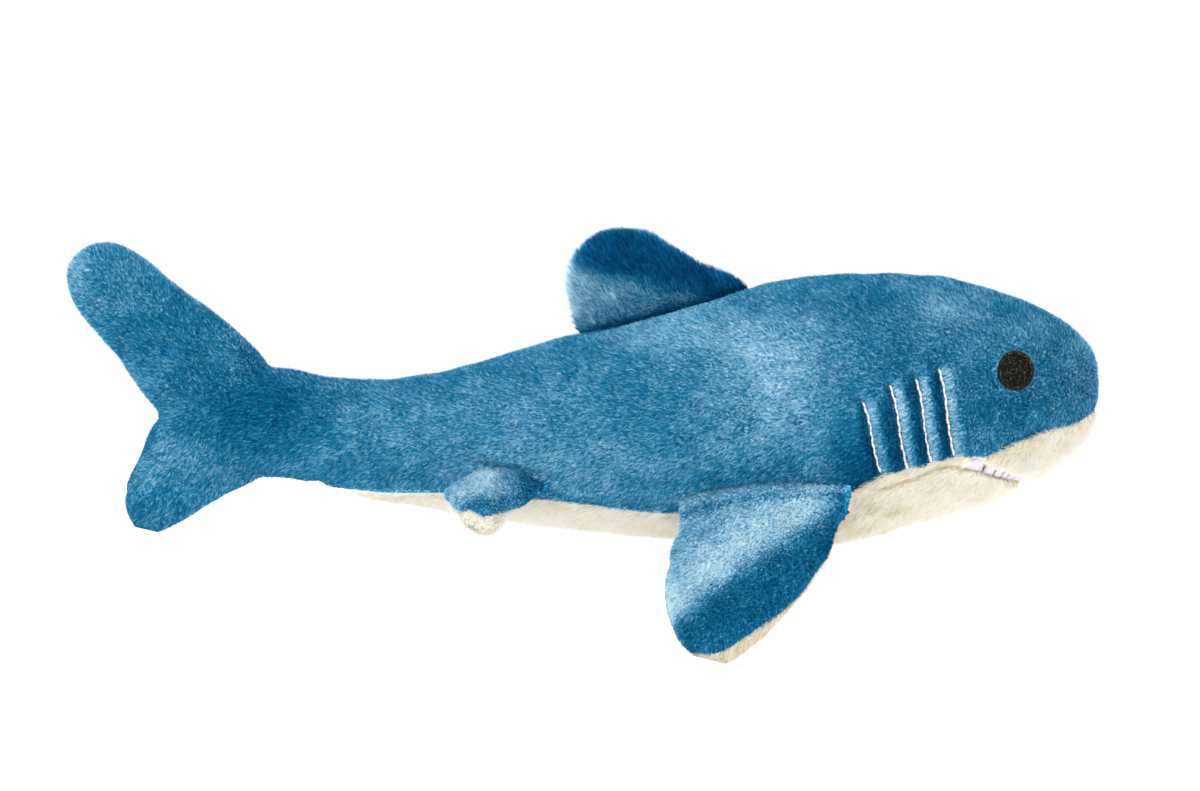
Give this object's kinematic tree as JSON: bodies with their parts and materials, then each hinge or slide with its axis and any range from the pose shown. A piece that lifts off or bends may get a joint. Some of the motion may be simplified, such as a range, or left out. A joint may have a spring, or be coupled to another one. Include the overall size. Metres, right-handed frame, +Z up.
{
  "type": "plush shark",
  "caption": "Stuffed plush shark with bending tail, floppy fins, stitched gills, embroidered eyes and a felt-toothed mouth.",
  "frame": {"origin": "on the floor, under the middle of the bounding box", "axes": "+X towards the nose, +Y to the shark's left, +Z up; the toy stands on both pectoral fin tips and the lower tail lobe, so its body is pitched 12.9 degrees nose-up"},
  "size_m": [0.3602, 0.1298, 0.1473],
  "materials": {
    "blue_plush": "matte",
    "dark_plush": "matte",
    "cream_plush": "matte",
    "white_felt": "matte",
    "black_embroidery": "satin",
    "pale_thread": "satin",
    "fill": "matte"
  },
  "bodies": {
    "torso": {"torso_stuffing": "fill", "side_panel_left": "blue_plush", "side_panel_right": "blue_plush", "belly_panel": "cream_plush", "snout_panel": "cream_plush", "teeth_strip": "white_felt", "eye_left": "black_embroidery", "eye_right": "black_embroidery", "gill_stitches_left": "pale_thread", "gill_stitches_right": "pale_thread"},
    "tail": {"tail_stuffing": "fill", "tail_panel_left": "blue_plush", "tail_panel_right": "blue_plush"},
    "dorsal_fin": {"dorsal_stuffing": "fill", "dorsal_panel_left": "dark_plush", "dorsal_panel_right": "dark_plush"},
    "pectoral_fin_left": {"pectoral_left_stuffing": "fill", "pectoral_left_top": "blue_plush", "pectoral_left_underside": "cream_plush"},
    "pelvic_fin_left": {"pelvic_left_stuffing": "fill", "pelvic_left_top": "blue_plush", "pelvic_left_underside": "cream_plush"},
    "pectoral_fin_right": {"pectoral_right_stuffing": "fill", "pectoral_right_top": "blue_plush", "pectoral_right_underside": "cream_plush"},
    "pelvic_fin_right": {"pelvic_right_stuffing": "fill", "pelvic_right_top": "blue_plush", "pelvic_right_underside": "cream_plush"}
  },
  "joints": [
    {"name": "tail_bend", "type": "hinge", "parent": "torso", "child": "tail", "pos_m": [-0.09587, 0, 0.04453], "axis": [-0.2233, 0, 0.9748], "range_deg": [-35, 35], "stiffness_Nm_per_rad": 0.2},
    {"name": "dorsal_fin_lean", "type": "hinge", "parent": "torso", "child": "dorsal_fin", "pos_m": [0.02349, 0, 0.12137], "axis": [0.8813, 0, 0.4725], "range_deg": [-40, 40], "stiffness_Nm_per_rad": 0.05},
    {"name": "pectoral_fin_left_lift", "type": "hinge", "parent": "torso", "child": "pectoral_fin_left", "pos_m": [0.07648, 0.0373, 0.05303], "axis": [0.9309, 0.1404, 0.3371], "range_deg": [-25, 60], "stiffness_Nm_per_rad": 0.25},
    {"name": "pectoral_fin_right_lift", "type": "hinge", "parent": "torso", "child": "pectoral_fin_right", "pos_m": [0.07648, -0.0373, 0.05303], "axis": [-0.9309, 0.1404, -0.3371], "range_deg": [-25, 60], "stiffness_Nm_per_rad": 0.25},
    {"name": "pelvic_fin_left_lift", "type": "hinge", "parent": "torso", "child": "pelvic_fin_left", "pos_m": [-0.01249, 0.03145, 0.04106], "axis": [0.9903, 0.1199, 0.0703], "range_deg": [-30, 45], "stiffness_Nm_per_rad": 0.03},
    {"name": "pelvic_fin_right_lift", "type": "hinge", "parent": "torso", "child": "pelvic_fin_right", "pos_m": [-0.01249, -0.03145, 0.04106], "axis": [-0.9903, 0.1199, -0.0703], "range_deg": [-30, 45], "stiffness_Nm_per_rad": 0.03}
  ]
}
